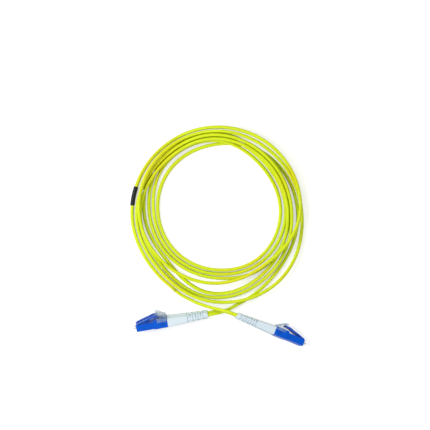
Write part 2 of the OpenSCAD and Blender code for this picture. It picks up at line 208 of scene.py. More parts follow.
class Recipe(Graph):
    """The nodes of one piece's material, ending in one Principled shader.

    Attributes:
        MIX_IN: Numbers of a colour Mix node's factor, first and second inputs.
        MIX_OUT: Number of its colour output.
        EDGE_SAMPLES: Samples that a Bevel node takes.
    """

    MIX_IN: ClassVar[tuple[int, int, int]] = (0, 6, 7)
    MIX_OUT: ClassVar[int] = 2
    EDGE_SAMPLES: ClassVar[int] = 6

    def __init__(self, name: str) -> None:
        """Start an empty material of that name."""
        self.material = bpy.data.materials.new(name)
        super().__init__(self.material)

    def place(self, stretch: Point = (1.0, 1.0, 1.0), own_map: bool = False) -> bpy.types.NodeSocket:
        """Coordinates in metres, each multiplied by its stretch.

        Args:
            stretch: Factor for each coordinate.
            own_map: True for the distance along and around a cord, False for the object's place.

        Returns:
            The socket with the coordinates.
        """
        if own_map:
            source = self.node("ShaderNodeUVMap", {"uv_map": Strand.MAP}, {}).outputs[0]
        else:
            source = self.node("ShaderNodeTexCoord", {}, {}).outputs["Object"]
        return self.node("ShaderNodeMapping", {}, {"Vector": source, "Scale": stretch}).outputs[0]

    def noise(self, where: bpy.types.NodeSocket, per_metre: float, detail: float = 2.0) -> Value:
        """Cloudy noise from 0 to 1 with that many clouds in a metre."""
        sockets = {"Vector": where, "Scale": per_metre, "Detail": detail}
        return Value(self, self.node("ShaderNodeTexNoise", {}, sockets).outputs[0])

    def blend(
        self, share: Term, first: bpy.types.NodeSocket | Colour, second: bpy.types.NodeSocket | Colour
    ) -> bpy.types.NodeSocket:
        """A colour between two.

        Args:
            share: Share of the second colour, from 0 to 1.
            first: Colour where the share is 0.
            second: Colour where the share is 1.

        Returns:
            The socket with the colour.
        """
        ends = [end if isinstance(end, bpy.types.NodeSocket) else (*end, 1.0) for end in (first, second)]
        sockets = dict(zip(self.MIX_IN, (share, *ends)))
        return self.node("ShaderNodeMix", {"data_type": "RGBA"}, sockets).outputs[self.MIX_OUT]

    def finish(
        self,
        colour: Feed,
        roughness: Feed,
        height: Value,
        depth: float,
        soft_edge: float = 0.0,
        others: Mapping[str, Feed] | None = None,
    ) -> bpy.types.Material:
        """Close the recipe with a Principled shader.

        Args:
            colour: Base colour.
            roughness: Roughness from 0 to 1.
            height: Relief from 0 to 1.
            depth: Height of that relief in metres.
            soft_edge: Radius of the rounding of sharp edges in metres, 0 for none.
            others: Values or links for other sockets, by name.

        Returns:
            The finished material.
        """
        relief: dict[str | int, Feed] = {"Height": height, "Distance": depth, "Strength": 1.0}
        if soft_edge:
            rounded = self.node("ShaderNodeBevel", {"samples": self.EDGE_SAMPLES}, {"Radius": soft_edge})
            relief["Normal"] = rounded.outputs[0]
        bump = self.node("ShaderNodeBump", {}, relief)
        skin = {"Base Color": colour, "Roughness": roughness, "Normal": bump.outputs[0]}
        shader = self.node("ShaderNodeBsdfPrincipled", {}, {**skin, **(others or {})})
        self.node("ShaderNodeOutputMaterial", {}, {"Surface": shader.outputs[0]})
        return self.material


# ---- finishes


@dataclass(frozen=True)
class Jacket:
    """Extruded yellow green cord jacket.

    Attributes:
        name: The material's name.
        slot: The record's name for it; not used.
        light, deep, warm: Its main colour, that of its clouds and that of its yellower stretches.
        drawn, drag: Factors that draw the clouds out along the cord, and the lines much more.
        clouds, lines, grain, warmth: Clouds, lines, specks and yellower stretches in a metre.
        relief: Height of lines and grain in metres.
        shine: Specular level.
    """

    name: str = "cord_jacket_yellow_green"
    slot: str = "cord_yellow"
    light: Colour = (0.71, 0.85, 0.010)
    deep: Colour = (0.54, 0.61, 0.005)
    warm: Colour = (0.74, 0.66, 0.004)
    drawn: Point = (1.0, 14.0, 1.0)
    drag: Point = (0.04, 1.0, 1.0)
    clouds: float = 45.0
    lines: float = 2600.0
    grain: float = 4200.0
    warmth: float = 24.0
    relief: float = 0.012 * MM
    shine: float = 0.2

    def material(self) -> bpy.types.Material:
        """Clouded colour along the cord, warmer stretches, long extrusion lines and a fine grain.

        Returns:
            The material.
        """
        recipe = Recipe(self.name)
        clouds = recipe.noise(recipe.place(self.drawn, own_map=True), self.clouds, 3.0)
        lines = recipe.noise(recipe.place(self.drag, own_map=True), self.lines)
        grain = recipe.noise(recipe.place(), self.grain, 3.0)
        warmth = recipe.noise(recipe.place(), self.warmth, 1.0).step(0.48, 0.7) * 0.55
        green = recipe.blend(clouds.step(0.3, 0.75) * 0.55 + lines * 0.12, self.light, self.deep)
        colour = recipe.blend(warmth, green, self.warm)
        roughness = 0.34 + 0.14 * clouds + 0.06 * grain
        height = 0.6 * lines + 0.4 * grain
        others = {"Specular IOR Level": self.shine}
        return recipe.finish(colour, roughness, height, self.relief, others=others)


@dataclass(frozen=True)
class Moulding:
    """Moulded plastic with a fine spark eroded grain, soft edges and patches of light rubbing.

    Attributes:
        name: The material's name.
        colour, worn: Its main colour, and that of its clouds and rubbed places.
        roughness: Its mean roughness.
        relief, soft_edge: Height of the grain and radius of its edges, in metres.
        clouds, grain, scuffs: Clouds, specks and scuffs in a metre.
        shine: Specular level.
    """

    name: str
    colour: Colour
    worn: Colour
    roughness: float
    relief: float = 0.006 * MM
    soft_edge: float = 0.09 * MM
    clouds: float = 240.0
    grain: float = 6500.0
    scuffs: float = 3200.0
    shine: float = 0.07

    def material(self) -> bpy.types.Material:
        """Cloudy tone, grained gloss and fine relief.

        Returns:
            The material.
        """
        recipe = Recipe(self.name)
        where = recipe.place()
        clouds = recipe.noise(where, self.clouds, 2.0)
        grain = recipe.noise(where, self.grain, 2.0)
        scuffs = recipe.noise(recipe.place((1.0, 0.18, 1.0)), self.scuffs, 4.0)
        mark = scuffs.step(0.66, 0.8) * clouds.step(0.45, 0.7)
        colour = recipe.blend(clouds * 0.3 + mark * 0.35, self.colour, self.worn)
        roughness = self.roughness - 0.05 + 0.1 * grain + 0.12 * mark
        height = grain + 0.5 * clouds
        others = {"Specular IOR Level": self.shine}
        return recipe.finish(colour, roughness, height, self.relief, self.soft_edge, others)


@dataclass(frozen=True)
class ClearMoulding:
    """Smoky clear plastic, a thin veil over what lies behind it.

    Attributes:
        name: The material's name.
        colour, pale: Its main colour, and that of its flow lines.
        veil: Opacity between the flow lines.
        roughness: Its least roughness.
        relief, soft_edge: Height of the flow lines and radius of its edges, in metres.
        flow, grain: Flow lines and specks in a metre.
        ior: How strongly it bends light.
    """

    name: str
    colour: Colour
    pale: Colour
    veil: float
    roughness: float = 0.14
    relief: float = 0.006 * MM
    soft_edge: float = 0.08 * MM
    flow: float = 420.0
    grain: float = 5200.0
    ior: float = 1.58

    def material(self) -> bpy.types.Material:
        """Pale flow lines in a thin veil of grey blue, under a polished skin.

        Returns:
            The material.
        """
        recipe = Recipe(self.name)
        flow = recipe.noise(recipe.place((1.0, 1.0, 0.4)), self.flow, 3.0)
        grain = recipe.noise(recipe.place(), self.grain, 2.0)
        streak = flow.step(0.3, 0.8)
        colour = recipe.blend(streak, self.colour, self.pale)
        roughness = self.roughness + 0.08 * grain
        others = {"Alpha": self.veil + 0.1 * streak, "IOR": self.ior}
        return recipe.finish(colour, roughness, grain + flow, self.relief, self.soft_edge, others)


@dataclass(frozen=True)
class Sleeving:
    """Black shrink sleeve, drawn tight with faint cross wrinkles.

    Attributes:
        name: The material's name.
        slot: The record's name for it; not used.
        colour, rubbed: Its main colour, and that of its rubbed patches.
        squeeze: Factors that draw the wrinkles out round the cord.
        wrinkles, grain, patches: Wrinkles, specks and rubbed patches in a metre.
        relief: Height of the wrinkles in metres.
        shine: Specular level.
    """

    name: str = "shrink_sleeve_black"
    slot: str = "sleeve_black"
    colour: Colour = (0.007, 0.010, 0.014)
    rubbed: Colour = (0.028, 0.034, 0.040)
    squeeze: Point = (1.0, 0.12, 1.0)
    wrinkles: float = 1500.0
    grain: float = 5000.0
    patches: float = 380.0
    relief: float = 0.05 * MM
    shine: float = 0.2

    def material(self) -> bpy.types.Material:
        """Dull black with rubbed patches and wrinkles across its length.

        Returns:
            The material.
        """
        recipe = Recipe(self.name)
        wrinkle = recipe.noise(recipe.place(self.squeeze, own_map=True), self.wrinkles, 2.0)
        grain = recipe.noise(recipe.place(), self.grain, 3.0)
        rub = recipe.noise(recipe.place(), self.patches, 3.0).step(0.5, 0.8)
        colour = recipe.blend(rub * 0.5 + grain * 0.15, self.colour, self.rubbed)
        roughness = 0.38 + 0.2 * rub + 0.08 * grain
        height = wrinkle + 0.4 * grain
        others = {"Specular IOR Level": self.shine}
        return recipe.finish(colour, roughness, height, self.relief, others=others)


@dataclass(frozen=True)
class Ceramic:
    """Ground and polished white ceramic.

    Attributes:
        name: The material's name.
        colour, tint: Its main colour, and that of its clouds.
        clouds, grain: Clouds and grinding marks in a metre.
        relief: Height of the grinding marks in metres.
        polish: Weight of the bright coat.
    """

    name: str = "ferrule_ceramic_white"
    colour: Colour = (0.83, 0.83, 0.80)
    tint: Colour = (0.74, 0.75, 0.74)
    clouds: float = 700.0
    grain: float = 9000.0
    relief: float = 0.001 * MM
    polish: float = 0.4

    def material(self) -> bpy.types.Material:
        """Very fine grinding grain under a bright polish.

        Returns:
            The material.
        """
        recipe = Recipe(self.name)
        clouds = recipe.noise(recipe.place(), self.clouds, 3.0)
        grain = recipe.noise(recipe.place(), self.grain, 2.0)
        colour = recipe.blend(clouds * 0.6, self.colour, self.tint)
        roughness = 0.16 + 0.08 * grain
        return recipe.finish(colour, roughness, grain, self.relief, others={"Coat Weight": self.polish})


@dataclass(frozen=True)
class Metal:
    """Turned, plated or drawn metal with fine tool lines and dulled patches.

    Attributes:
        name: The material's name.
        colour, dulled: Its main colour, and that of its dulled patches.
        roughness: Its least roughness.
        patches, lines: Dulled patches and tool lines in a metre.
        relief, soft_edge: Height of the tool lines and radius of its edges, in metres.
    """

    name: str
    colour: Colour
    dulled: Colour
    roughness: float
    patches: float = 520.0
    lines: float = 7000.0
    relief: float = 0.003 * MM
    soft_edge: float = 0.04 * MM

    def material(self) -> bpy.types.Material:
        """Tool lines in the relief, and patches of duller plating.

        Returns:
            The material.
        """
        recipe = Recipe(self.name)
        where = recipe.place()
        patches = recipe.noise(where, self.patches, 4.0).step(0.35, 0.75)
        lines = recipe.noise(where, self.lines, 1.0)
        colour = recipe.blend(patches * 0.7, self.colour, self.dulled)
        roughness = self.roughness + 0.12 * patches + 0.08 * lines
        return recipe.finish(colour, roughness, lines, self.relief, self.soft_edge, {"Metallic": 1.0})


class Finish(Enum):
    """The finish of each kind of piece."""

    JACKET = Jacket()
    BLUE = Moulding("housing_blue", (0.001, 0.088, 0.58), (0.008, 0.14, 0.68), 0.3)
    LATCH_BLUE = Moulding("latch_blue", (0.001, 0.072, 0.50), (0.008, 0.11, 0.58), 0.28)
    WHITE = Moulding("boot_white", (0.70, 0.80, 0.86), (0.62, 0.73, 0.80), 0.48, 0.01 * MM, 0.07 * MM)
    CLEAR = ClearMoulding("clip_clear_grey", (0.26, 0.40, 0.52), (0.45, 0.58, 0.68), 0.18)
    SMOKY = ClearMoulding("trigger_smoky_grey", (0.13, 0.26, 0.40), (0.22, 0.36, 0.50), 0.42)
    BLACK = Sleeving()
    CERAMIC = Ceramic()
    PLATED = Metal("plated_nickel", (0.66, 0.64, 0.60), (0.50, 0.48, 0.45), 0.24)
    CRIMPED = Metal("crimped_aluminium", (0.72, 0.72, 0.73), (0.56, 0.56, 0.58), 0.34)
    SPRING = Metal("spring_wire_steel", (0.60, 0.60, 0.61), (0.42, 0.42, 0.44), 0.28)
    BUFFER = Moulding("fiber_buffer_white", (0.84, 0.84, 0.82), (0.76, 0.77, 0.76), 0.4, 0.003 * MM, 0.0)
    REAR = Moulding("rear_body_blue", (0.003, 0.075, 0.48), (0.02, 0.12, 0.56), 0.34)


class Paintbox:
    """Makes each finish once and hands it out."""

    def __init__(self) -> None:
        """Start with no material made."""
        self._made: dict[Finish, bpy.types.Material] = {}

    def __getitem__(self, finish: Finish) -> bpy.types.Material:
        """Look up the material of a finish, and make it the first time.

        Args:
            finish: The finish.

        Returns:
            Its material.
        """
        if finish not in self._made:
            self._made[finish] = finish.value.material()
        return self._made[finish]

    def coat(self, piece: bpy.types.Object, finish: Finish) -> None:
        """Give a new piece one finish all over.

        Args:
            piece: The piece.
            finish: Its finish.
        """
        piece.data.materials.clear()
        piece.data.materials.append(self[finish])

    def recoat(self, node: bpy.types.Object, finish: Finish) -> None:
        """Give every material slot of a carried-over solid one finish."""
        for slot in node.material_slots:
            slot.material = self[finish]


# ---- surfaces


def unit(vectors: np.ndarray) -> np.ndarray:
    """Each row divided by its length."""
    return vectors / np.linalg.norm(vectors, axis=-1, keepdims=True)


def reach_along(path: np.ndarray) -> np.ndarray:
    """Distance along a path at each of its places: the running sum of its steps."""
    return np.concatenate([[0.0], np.cumsum(np.linalg.norm(np.diff(path, axis=0), axis=1))])


def smooth_path(points: np.ndarray, spacing: float) -> np.ndarray:
    """Draw one smooth curve through points, with places at an even spacing.

    Between points i and i+1, at share f of chord d, it is the cubic that has both points and
    the directions m there: (2f^3-3f^2+1)p0 + (f^3-2f^2+f)d m0 + (3f^2-2f^3)p1 + (f^3-f^2)d m1.
    A direction is the mean of the two chords' slopes, each weighed by the other's length.

    Args:
        points: The points, one in a row.
        spacing: Distance from place to place, in the points' unit.

    Returns:
        The places along the curve, one in a row.
    """
    chord = np.linalg.norm(np.diff(points, axis=0), axis=1)
    slope = np.diff(points, axis=0) / chord[:, None]
    before, after = chord[:-1, None], chord[1:, None]
    inner = (slope[:-1] * after + slope[1:] * before) / (before + after)
    direction = np.vstack([slope[:1], inner, slope[-1:]])
    reach = reach_along(points)
    at = np.linspace(0.0, reach[-1], max(2, int(round(reach[-1] / spacing)) + 1))
    k = np.clip(np.searchsorted(reach, at, side="right") - 1, 0, len(chord) - 1)
    f = ((at - reach[k]) / chord[k])[:, None]
    d = chord[k][:, None]
    return (
        (2 * f**3 - 3 * f**2 + 1) * points[k]
        + (f**3 - 2 * f**2 + f) * d * direction[k]
        + (3 * f**2 - 2 * f**3) * points[k + 1]
        + (f**3 - f**2) * d * direction[k + 1]
    )


def put_mesh(
    name: str, vertices: np.ndarray, quads: np.ndarray, corners: np.ndarray, fans: np.ndarray
) -> bpy.types.Object:
    """Put arrays of vertices and faces into a new mesh object.

    Args:
        name: The piece's name.
        vertices: Vertex places in metres, one in a row.
        quads: Four vertex numbers a row.
        corners: Map coordinates of each quad's corners, two numbers for each.
        fans: Three vertex numbers a row, for the triangles at closed ends.

    Returns:
        The object, smooth shaded.
    """
    mesh = bpy.data.meshes.new(name)
    mesh.vertices.add(len(vertices))
    mesh.vertices.foreach_set("co", vertices.astype(np.float32).ravel())
    loops = np.concatenate([quads.ravel(), fans.ravel()]).astype(np.int32)
    starts = np.concatenate([np.arange(len(quads)) * 4, quads.size + np.arange(len(fans)) * 3])
    mesh.loops.add(len(loops))
    mesh.loops.foreach_set("vertex_index", loops)
    mesh.polygons.add(len(starts))
    mesh.polygons.foreach_set("loop_start", starts.astype(np.int32))
    mesh.polygons.foreach_set("use_smooth", np.ones(len(starts), bool))
    mesh.update(calc_edges=True)
    layer = mesh.uv_layers.new(name=Strand.MAP)
    spread = np.zeros((len(loops), 2), np.float32)
    spread[: quads.size] = corners.reshape(-1, 2)
    layer.data.foreach_set("uv", spread.ravel())
    piece = bpy.data.objects.new(name, mesh)
    bpy.context.collection.objects.link(piece)
    return piece


@dataclass
class Strand:
    """A profile carried along a path: a core, the twin cord or a sleeve on it.

    Attributes:
        path: Centre line in metres, one place in a row.
        section: Outline in metres as side and height, going round once anticlockwise.
        sizes: Factor on the section at each place.
        roll: Turn of the section about the path at each place, in radians.
        MAP: Name of the map with the distances along and around.
    """

    MAP: ClassVar[str] = "along_and_around"

    path: np.ndarray
    section: np.ndarray
    sizes: np.ndarray | None = None
    roll: np.ndarray | None = None

    def rings(self) -> np.ndarray:
        """The section at each place: path + s side + h up, with side level and up square to both.

        Returns:
            An array of places by outline points by three.
        """
        along = unit(np.gradient(self.path, axis=0))
        side = unit(np.cross(along, [0.0, 0.0, 1.0]))
        up = np.cross(side, along)
        turn = np.zeros(len(self.path)) if self.roll is None else self.roll
        cos, sin = np.cos(turn)[:, None], np.sin(turn)[:, None]
        side, up = cos * side + sin * up, cos * up - sin * side
        size = np.ones(len(self.path)) if self.sizes is None else self.sizes
        across = self.section[None, :, 0, None] * side[:, None]
        height = self.section[None, :, 1, None] * up[:, None]
        return self.path[:, None] + size[:, None, None] * (across + height)

    def build(self, name: str) -> bpy.types.Object:
        """Join the rings into a tube, closed at each end by a fan round one middle point.

        Args:
            name: The piece's name.

        Returns:
            The piece.
        """
        rings = self.rings()
        rows, columns = rings.shape[:2]
        i, k = np.meshgrid(np.arange(rows - 1), np.arange(columns), indexing="ij")
        nxt = (k + 1) % columns
        here, beyond = i * columns, (i + 1) * columns
        quads = np.stack([here + k, here + nxt, beyond + nxt, beyond + k], -1)
        round_quad = ((0, 0), (0, 1), (1, 1), (1, 0))
        u = reach_along(self.path)
        edges = np.linalg.norm(np.roll(self.section, -1, axis=0) - self.section, axis=1)
        v = np.concatenate([[0.0], np.cumsum(edges)])
        corners = np.stack([np.stack([u[i + a], v[k + b]], -1) for a, b in round_quad], -2)
        ring = np.arange(columns)
        first, last = rows * columns, rows * columns + 1
        base = (rows - 1) * columns
        start_fan = np.stack([np.full(columns, first), np.roll(ring, -1), ring], -1)
        end_fan = np.stack([np.full(columns, last), base + ring, base + np.roll(ring, -1)], -1)
        vertices = np.vstack([rings.reshape(-1, 3), rings[0].mean(0), rings[-1].mean(0)])
        fans = np.vstack([start_fan, end_fan])
        return put_mesh(name, vertices, quads.reshape(-1, 4), corners.reshape(-1, 4, 2), fans)


def circle(radius: float, sides: int) -> np.ndarray:
    """A circle's outline: r cos a, r sin a."""
    a = np.linspace(0.0, 2 * math.pi, sides, endpoint=False)
    return radius * np.stack([np.cos(a), np.sin(a)], -1)


def figure_eight(
    core: float, apart: float, web: float, quarter: int = 9, power: float = 4.0, foot: float = -78.0
) -> np.ndarray:
    """Outline of two round cores, one above the other, joined by a web.

    On the upper core at angle a the height is apart + core sin a, and the side is
    ((core cos a)^n + (web max(0, -sin a))^n)^(1/n). The lower core is the upper one turned half round.

    Args:
        core: Radius of a core.
        apart: Distance of a core's centre from the middle.
        web: Half of the web's thickness.
        quarter: Number of points from the web to the top of a core.
        power: How sharply the web meets the cores.
        foot: Angle on a core at which the web begins, in degrees.

    Returns:
        Outline points as side and height.
    """
    a = np.radians(np.linspace(foot, 90.0, quarter))
    side = ((core * np.cos(a)) ** power + (web * np.maximum(0.0, -np.sin(a))) ** power) ** (1 / power)
    height = apart + core * np.sin(a)
    right = np.stack([side, height], -1)
    upper = np.vstack([right, right[-2::-1] * (-1, 1)])
    return np.vstack([upper, -upper])


# ---- the coiled twin cord


@dataclass(frozen=True)
class MarkerSleeve:
    """The black sleeve round the outermost turn, with its sizes in millimetres.

    Attributes:
        bearing: Where it sits on the last turn, in degrees.
        length: Its length.
        height: Its height on edge.
        lifts: Rings of the cord before and after its middle that it lifts.
        core_r: Its radius round a core of the cord.
        apart: Distance of such a round's centre from the middle.
        web: Half of its waist.
        power: How sharply the waist meets the rounds.
        taper: Share of its size that it loses at its ends.
        tip: Length of the taper.
        places: Number of places along it.
    """

    bearing: float = 167.5
    length: float = 12.5
    height: float = 4.8
    lifts: float = 2.0
    core_r: float = 1.36
    apart: float = 0.98
    web: float = 1.12
    power: float = 3.0
    taper: float = 0.1
    tip: float = 1.0
    places: int = 41

    def build(self, paint: Paintbox, line: np.ndarray, sway: np.ndarray, at: float) -> bpy.types.Object:
        """Make the sleeve.

        Its section is the cord's outline grown by its wall, and near each end the size falls
        by a tenth as 1 - 0.1 (1 - s)^2, where s rises from 0 to 1 over the tip.

        Args:
            paint: Where the finishes come from.
            line: The coil's centre line in metres.
            sway: Roll of the cord at each place of the line.
            at: Distance along the cord of the sleeve's middle, in metres.

        Returns:
            The sleeve.
        """
        reach = reach_along(line)
        half = 0.5 * self.length * MM
        places = at + np.linspace(-half, half, self.places)
        path = np.stack([np.interp(places, reach, line[:, axis]) for axis in range(3)], -1)
        s = np.clip((half - np.abs(places - at)) / (self.tip * MM), 0, 1)
        outline = figure_eight(self.core_r * MM, self.apart * MM, self.web * MM, power=self.power)
        sizes = 1 - self.taper * (1 - s) ** 2
        piece = Strand(path, outline, sizes, np.interp(places, reach, sway)).build("shrink_sleeve")
        paint.coat(piece, Finish.BLACK)
        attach(piece, "root")
        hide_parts("marker_sleeve")
        return piece


@dataclass
class CoilCord:
    """The twin cord: eight turns that lie beside and across each other, with sizes in millimetres.

    Attributes:
        sleeve: The sleeve on its last turn.
        centre: Middle of the coil.
        twin_h, twin_w: Height of the cord, which lies on edge, and width of its solid.
        core_r, web: Radius of each of its cores, and half the thickness of the web between them.
        clearance: Distance that turns side by side keep between them.
        turn_step: Height of a turn's centre above that of the turn that it lies on.
        climb: Most that the cord rises or falls from ring to ring.
        rings_a_turn: Rings in a turn.
        bearings: Radii given for a turn.
        hold: Rings before and after a crossing that are held up with it.
        first_ring: Ring at which the cord begins.
        first_bearing: Bearing of ring 0 in degrees.
        fine: Places between two rings.
        blur: Width of the smoothing of the heights, in rings.
        blur_places: Places before and after that the smoothing takes in.
        sways: Size in radians, length in metres and phase of each wave of the cord's roll.
        settle: Length at each end over which the roll begins, in metres.
        lead_radius, tail_radii: Radii before the first turn and after the last.
        turn_radii: Radii at eight bearings a turn, from the front anticlockwise.
        heights: Height of the centre line at each ring.
    """

    sleeve: MarkerSleeve = MarkerSleeve()
    centre: tuple[float, float] = (-3.6, 74.7)
    twin_h: float = 4.1
    twin_w: float = 1.9
    core_r: float = 1.05
    web: float = 0.5
    clearance: float = 0.45
    turn_step: float = 4.6
    climb: float = 2.0
    rings_a_turn: int = 24
    bearings: int = 8
    hold: int = 4
    first_ring: int = 1
    first_bearing: float = 270.0
    fine: int = 5
    blur: float = 0.6
    blur_places: int = 8
    sways: Sequence[Point] = ((0.09, 0.047, 0.0), (0.06, 0.019, 1.3))
    settle: float = 0.03
    lead_radius: float = 72.0
    tail_radii: tuple[float, float] = (60.5, 72.0)
    turn_radii: Sequence[Sequence[float]] = (
        (64, 56, 54.4, 51.2, 44.4, 40.2, 36.4, 35.3),
        (36.8, 41.3, 43.2, 43.4, 46.9, 44.7, 39.1, 37.9),
        (39.4, 44.3, 46.6, 46.2, 49.4, 47.2, 42, 40.4),
        (42, 47.8, 49.1, 48.7, 51.9, 49.7, 45.4, 43.4),
        (52.3, 50.3, 47.9, 47.4, 48.1, 45.9, 47.8, 48.2),
        (54.9, 53.3, 50.4, 49.9, 50.6, 48.4, 50.2, 50.8),
        (57.5, 61, 57, 54.3, 53, 51, 48.5, 45.8),
        (45.5, 47, 55.7, 57, 55.6, 53.8, 53.2, 53.8),
    )
    heights: np.ndarray = field(init=False)

    def __post_init__(self) -> None:
        """Pile the turns."""
        self.heights = self._piled()

    @property
    def last_ring(self) -> int:
        """Ring at which the cord ends."""
        return len(self.turn_radii) * self.rings_a_turn - 2

    @property
    def sleeve_ring(self) -> float:
        """Ring under the middle of the sleeve."""
        onward = (self.sleeve.bearing + 360 - self.first_bearing) * self.rings_a_turn / 360
        return (len(self.turn_radii) - 1) * self.rings_a_turn + onward

    def radius(self, n: np.ndarray) -> np.ndarray:
        """Radius of the centre line at ring n, in millimetres.

        With u = n 8 / 24, whole part k and rest f, it is the Catmull-Rom cubic in f through the
        radii k-1, k, k+1 and k+2, held at the ends of the list.

        Args:
            n: Ring numbers, whole or not.

        Returns:
            The radius at each.
        """
        radii = np.array([self.lead_radius, *np.ravel(self.turn_radii), *self.tail_radii])
        u = np.asarray(n, float) * self.bearings / self.rings_a_turn
        k = np.floor(u).astype(int)
        f = u - k
        p = [radii[np.clip(k + j, 0, len(radii) - 1)] for j in range(4)]
        return 0.5 * (
            2 * p[1]
            + (p[2] - p[0]) * f
            + (2 * p[0] - 5 * p[1] + 4 * p[2] - p[3]) * f**2
            + (3 * p[1] - p[0] - 3 * p[2] + p[3]) * f**3
        )

    def _piled(self) -> np.ndarray:
        """Height of the centre line at each ring, in millimetres.

        Ring n lies on the ground, on the sleeve round it, or a turn_step above each lower turn
        that it comes nearer to than the cord's width and the clearance. It climbs or falls by at
        most one climb a ring.

        Returns:
            The heights.
        """
        gap = self.twin_w + self.clearance
        nearby = np.arange(-1, 1.5, 0.5)
        z: list[float] = []
        carried = [self.twin_h / 2] * self.hold
        for n in range(self.last_ring + 1):
            m = n + self.hold
            lower = np.arange(m - self.rings_a_turn, -1, -self.rings_a_turn)
            lifts = [
                z[q] + self.turn_step
                for q in lower
                if np.abs(self.radius(m + nearby) - self.radius(q + nearby)).min() < gap
            ]
            own = self.sleeve.height if abs(m - self.sleeve_ring) < self.sleeve.lifts else self.twin_h
            carried.append(max([own / 2, *lifts]))
            span = range(max(0, n - self.hold), n + self.hold + 1)
            z.append(max(carried[q] - self.climb * abs(q - n) for q in span))
        return np.array(z)

    def point(self, n: np.ndarray) -> np.ndarray:
        """Place of the centre line at ring n, in millimetres.

        It is the middle plus radius(n) times (cos b, sin b) at bearing b = 270 + 15 n degrees,
        and the height is the ring heights' straight line, level from the last ring but one.

        Args:
            n: Ring numbers, whole or not.

        Returns:
            The places, one in a row.
        """
        n = np.asarray(n, float)
        b = np.radians(self.first_bearing + 360.0 * n / self.rings_a_turn)
        r = self.radius(n)
        z = np.interp(np.minimum(n, self.last_ring - 1), np.arange(len(self.heights)), self.heights)
        return np.stack([self.centre[0] + r * np.cos(b), self.centre[1] + r * np.sin(b), z], -1)

    def heading(self, n: float) -> np.ndarray:
        """Level direction of the cord at ring n, one unit long."""
        ends = self.point(np.array([max(n - 0.5, self.first_ring), min(n + 0.5, self.last_ring)]))
        return unit((ends[1] - ends[0]) * (1, 1, 0))

    def ends(self) -> tuple[np.ndarray, np.ndarray]:
        """Find where the twin cord ends, a cord's height beyond its first and last rings.

        Returns:
            The two places in millimetres.
        """
        first, last = self.point(np.array([self.first_ring, self.last_ring]))
        return (
            first - self.twin_h * self.heading(self.first_ring),
            last + self.twin_h * self.heading(self.last_ring),
        )

    def centre_line(self) -> np.ndarray:
        """The whole centre line in metres, smooth in height as well as in plan.

        A height is the mean of those round it, weighed by exp(-d^2 / 2) at d widths of the blur.

        Returns:
            Its places, one in a row.
        """
        steps = (self.last_ring - self.first_ring) * self.fine
        line = self.point(np.linspace(self.first_ring, self.last_ring, steps + 1))
        spread = np.arange(-self.blur_places, self.blur_places + 1) / (self.blur * self.fine)
        weights = np.exp(-0.5 * spread**2)
        padded = np.pad(line[:, 2], self.blur_places, mode="edge")
        line[:, 2] = np.convolve(padded, weights / weights.sum(), mode="valid")
        start, end = self.ends()
        return MM * np.vstack([start, line, end])

    def swayed(self, reach: np.ndarray) -> np.ndarray:
        """Roll of the cord in radians: the sum of its waves, each size sin(reach / length + phase)."""
        roll = sum(size * np.sin(reach / length + phase) for size, length, phase in self.sways)
        return roll * np.clip(np.minimum(reach, reach[-1] - reach) / self.settle, 0, 1)

    def sleeve_reach(self, line: np.ndarray, reach: np.ndarray) -> float:
        """Find the place on the last turn that is nearest to the sleeve's ring.

        Args:
            line: The centre line in metres.
            reach: Distance along it at each of its places.

        Returns:
            Distance along the cord in metres.
        """
        middle = MM * self.point(np.array([self.sleeve_ring]))[0]
        last_turn = len(line) - self.rings_a_turn * self.fine
        return reach[last_turn + int(np.argmin(np.linalg.norm((line - middle)[last_turn:], axis=1)))]

    def build(self, paint: Paintbox) -> tuple[bpy.types.Object, bpy.types.Object, np.ndarray]:
        """Make the coil and the sleeve on it.

        Args:
            paint: Where the finishes come from.

        Returns:
            The coil, the sleeve and the coil's centre line in metres.
        """
        line = self.centre_line()
        reach = reach_along(line)
        sway = self.swayed(reach)
        outline = figure_eight(self.core_r * MM, (self.twin_h / 2 - self.core_r) * MM, self.web * MM)
        coil = Strand(line, outline, roll=sway).build("twin_cord_coil")
        paint.coat(coil, Finish.JACKET)
        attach(coil, "root")
        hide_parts("cord_coil")
        return coil, self.sleeve.build(paint, line, sway, self.sleeve_reach(line, reach)), line


# ---- the four legs


